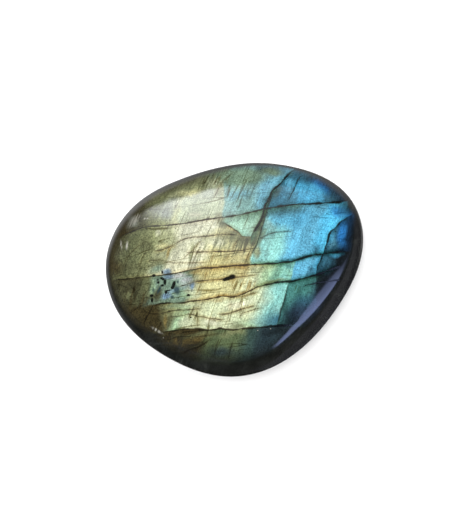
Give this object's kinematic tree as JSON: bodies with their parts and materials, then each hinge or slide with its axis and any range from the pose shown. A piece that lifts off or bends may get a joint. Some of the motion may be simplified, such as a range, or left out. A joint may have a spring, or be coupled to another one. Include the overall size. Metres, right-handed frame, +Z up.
{
  "type": "polished labradorite pebble",
  "caption": "Hand-polished freeform labradorite pebble with a low domed face, rounded edges and a small flat to rest on.",
  "frame": {"origin": "on the surface that the stone rests on, under the middle of its bounding box", "axes": "+Z up from the resting flat to the domed face, +X along the stone's length, +Y across it"},
  "size_m": [0.06, 0.0494, 0.023],
  "materials": {
    "polished_labradorite": "glossy hand polish over dark grey feldspar with a gold, green and blue flash, dark cleavage cracks and small black inclusions"
  },
  "bodies": {
    "root": {"stone": "polished_labradorite"}
  },
  "joints": []
}
